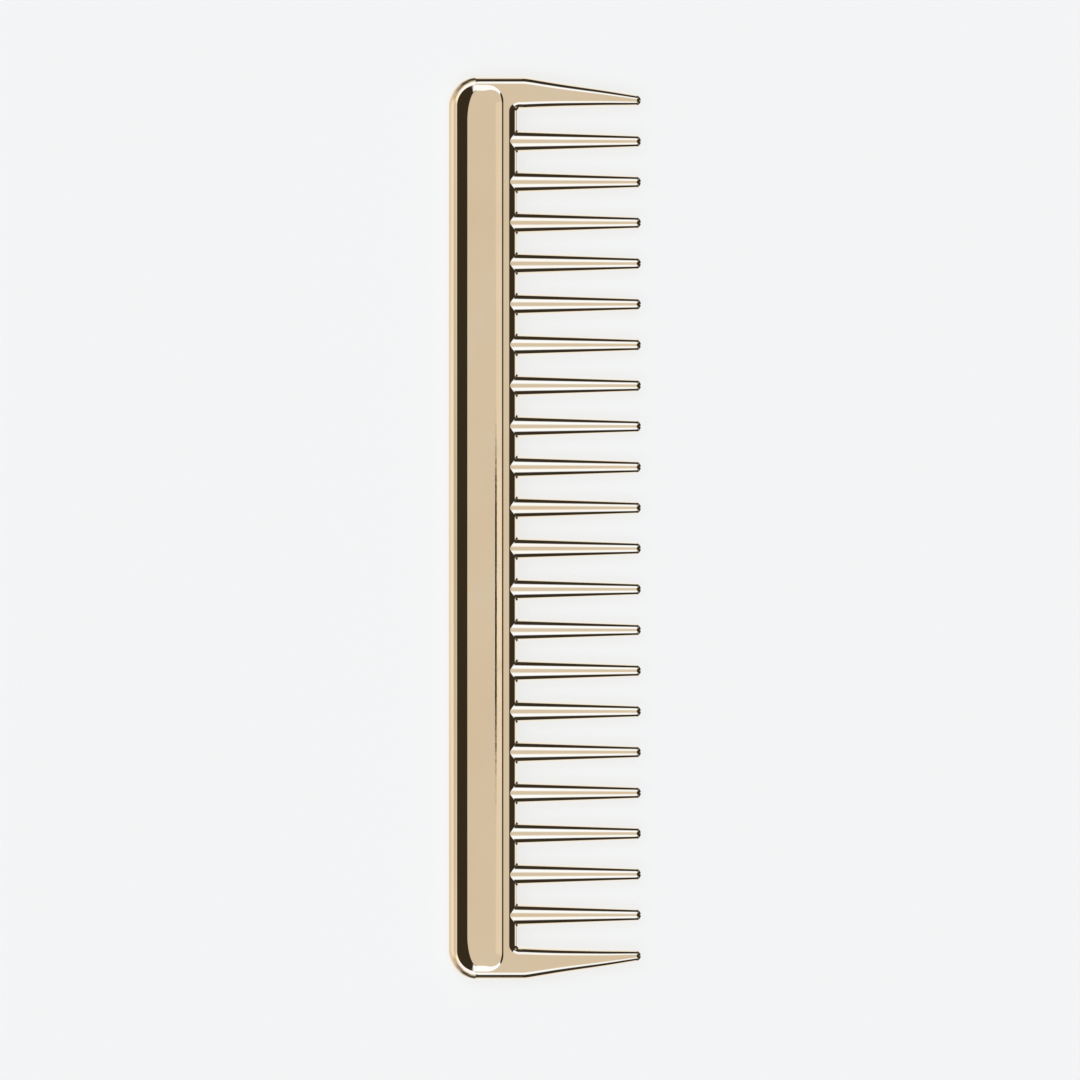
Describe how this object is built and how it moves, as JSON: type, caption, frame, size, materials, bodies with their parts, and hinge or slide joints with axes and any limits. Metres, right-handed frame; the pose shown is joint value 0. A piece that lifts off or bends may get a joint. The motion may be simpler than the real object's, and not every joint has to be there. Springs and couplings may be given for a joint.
{
  "type": "grooming comb",
  "caption": "Flat metal grooming comb: a rounded bar spine with a raised bolster on each face and one row of widely spaced tapered teeth between two broad end guards.",
  "frame": {"origin": "centre of the whole comb's bounding box, on its middle plane", "axes": "+Y along the spine, +X the way the teeth point, +Z out of one flat face; the comb lies on its other face"},
  "size_m": [0.0384, 0.1804, 0.0042],
  "materials": {
    "plated_spine": "polished",
    "plated_teeth": "polished"
  },
  "bodies": {
    "root": {"spine": "plated_spine", "tooth_01": "plated_teeth", "tooth_02": "plated_teeth", "tooth_03": "plated_teeth", "tooth_04": "plated_teeth", "tooth_05": "plated_teeth", "tooth_06": "plated_teeth", "tooth_07": "plated_teeth", "tooth_08": "plated_teeth", "tooth_09": "plated_teeth", "tooth_10": "plated_teeth", "tooth_11": "plated_teeth", "tooth_12": "plated_teeth", "tooth_13": "plated_teeth", "tooth_14": "plated_teeth", "tooth_15": "plated_teeth", "tooth_16": "plated_teeth", "tooth_17": "plated_teeth", "tooth_18": "plated_teeth", "tooth_19": "plated_teeth", "tooth_20": "plated_teeth"}
  },
  "joints": []
}
